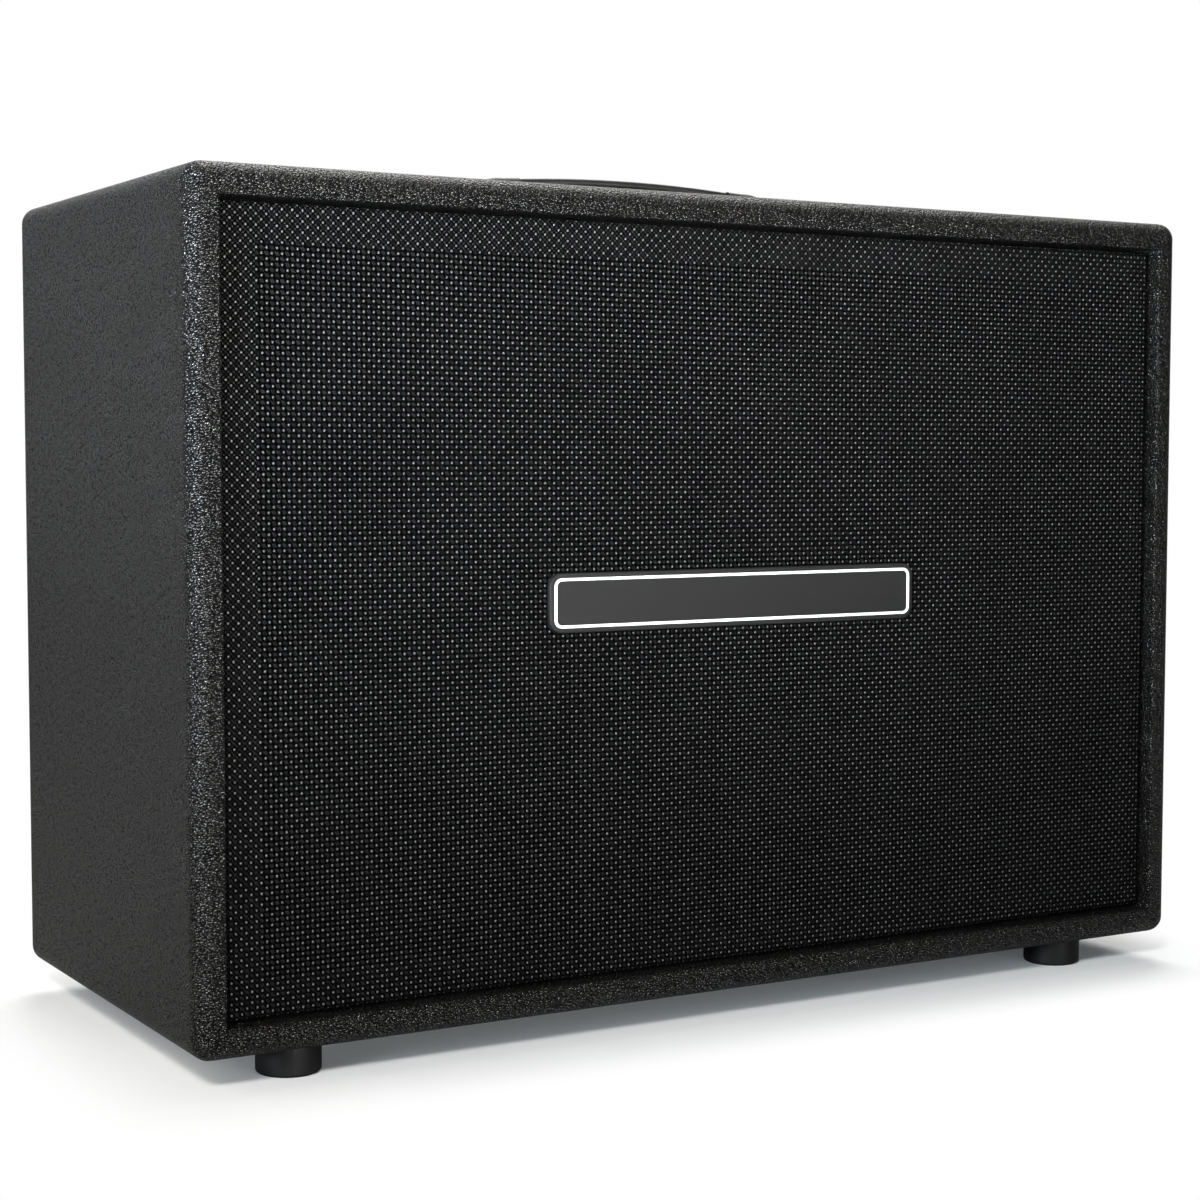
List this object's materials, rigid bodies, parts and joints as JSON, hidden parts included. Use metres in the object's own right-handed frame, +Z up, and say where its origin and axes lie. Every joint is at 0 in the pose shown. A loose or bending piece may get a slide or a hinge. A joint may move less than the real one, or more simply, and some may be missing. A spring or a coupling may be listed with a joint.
{
  "type": "guitar speaker cabinet",
  "caption": "Closed-back guitar speaker cabinet in grained black vinyl with a recessed pull-off grille, drive units on a baffle, a strap handle, rubber feet and a rear jack dish.",
  "frame": {"origin": "on the floor under the middle of the cabinet's bounding box", "axes": "+X to the right seen from the front, +Y towards the back, +Z up; the grille faces -Y"},
  "size_m": [0.72, 0.315, 0.5378],
  "materials": {
    "ply": "birch plywood",
    "black_vinyl": "grained black vinyl on cloth backing",
    "back_vinyl": "grained black vinyl over plywood",
    "baffle_black": "plywood painted matt black",
    "pine": "planed softwood",
    "grille_cloth": "plain woven black yarn",
    "hook_loop": "hook-and-loop tape",
    "black_steel": "black zinc plate",
    "zinc_steel": "bright zinc plate",
    "foot_rubber": "moulded black rubber",
    "handle_black": "moulded black nylon",
    "strap_vinyl": "moulded black vinyl over a spring steel core",
    "badge_black": "moulded black plastic",
    "badge_white": "white filled raised line",
    "dish_black": "moulded black plastic, fine texture",
    "jack_nylon": "black nylon",
    "lead_sheath": "black insulated wire",
    "basket_paint": "pressed steel, grey-black stoved paint",
    "gasket_cork": "pressed cork-fibre ring",
    "cone_edge": "doped cloth edge",
    "cone_paper": "pressed paper pulp",
    "spider_cloth": "resin-dipped woven disc",
    "coil_copper": "copper wire on a former",
    "ferrite": "sintered ferrite",
    "tag_fibre": "brown fibre board with tinned tags"
  },
  "bodies": {
    "cabinet": {"top_panel": "ply", "bottom_panel": "ply", "left_side_panel": "ply", "right_side_panel": "ply", "vinyl_covering": "black_vinyl", "baffle_board": "baffle_black", "baffle_battens": "pine", "back_battens": "pine", "back_panel": "back_vinyl", "centre_brace": "pine", "baffle_screws": "black_steel", "back_screws": "black_steel", "foot_front_left": "foot_rubber", "foot_front_right": "foot_rubber", "foot_rear_left": "foot_rubber", "foot_rear_right": "foot_rubber", "foot_washers": "zinc_steel", "foot_screws": "zinc_steel", "handle_hood_left": "handle_black", "handle_hood_right": "handle_black", "handle_screws": "black_steel", "handle_tee_nuts": "zinc_steel", "baffle_hook_pads": "hook_loop", "jack_dish": "dish_black", "jack_dish_screws": "black_steel", "jack_sockets": "jack_nylon", "jack_nuts": "zinc_steel", "speaker_bolts": "black_steel", "speaker_nuts": "zinc_steel", "speaker_leads": "lead_sheath", "left_basket": "basket_paint", "left_gasket": "gasket_cork", "left_surround": "cone_edge", "left_spider": "spider_cloth", "left_top_plate": "zinc_steel", "left_magnet": "ferrite", "left_pole_yoke": "zinc_steel", "left_tag_board": "tag_fibre", "right_basket": "basket_paint", "right_gasket": "gasket_cork", "right_surround": "cone_edge", "right_spider": "spider_cloth", "right_top_plate": "zinc_steel", "right_magnet": "ferrite", "right_pole_yoke": "zinc_steel", "right_tag_board": "tag_fibre"},
    "grille": {"grille_frame": "baffle_black", "grille_cloth": "grille_cloth", "grille_loop_pads": "hook_loop", "badge_plate": "badge_black", "badge_keyline": "badge_white", "badge_push_nuts": "zinc_steel"},
    "handle": {"handle_grip": "strap_vinyl", "handle_strap": "strap_vinyl"},
    "left_moving": {"left_cone": "cone_paper", "left_dust_cap": "cone_paper", "left_voice_coil": "coil_copper"},
    "right_moving": {"right_cone": "cone_paper", "right_dust_cap": "cone_paper", "right_voice_coil": "coil_copper"}
  },
  "joints": [
    {"name": "grille_pull", "type": "slide", "parent": "cabinet", "child": "grille", "axis": [0, -1, 0], "range_m": [0, 0.06]},
    {"name": "handle_lift", "type": "slide", "parent": "cabinet", "child": "handle", "axis": [0, 0, 1], "range_m": [0, 0.01], "stiffness_N_per_m": 900, "deforming": ["handle_strap"]},
    {"name": "left_cone_travel", "type": "slide", "parent": "cabinet", "child": "left_moving", "axis": [0, 1, 0], "range_m": [-0.0025, 0.0025], "stiffness_N_per_m": 5000, "deforming": ["left_surround", "left_spider"]},
    {"name": "right_cone_travel", "type": "slide", "parent": "cabinet", "child": "right_moving", "axis": [0, 1, 0], "range_m": [-0.0025, 0.0025], "stiffness_N_per_m": 5000, "deforming": ["right_surround", "right_spider"]}
  ]
}
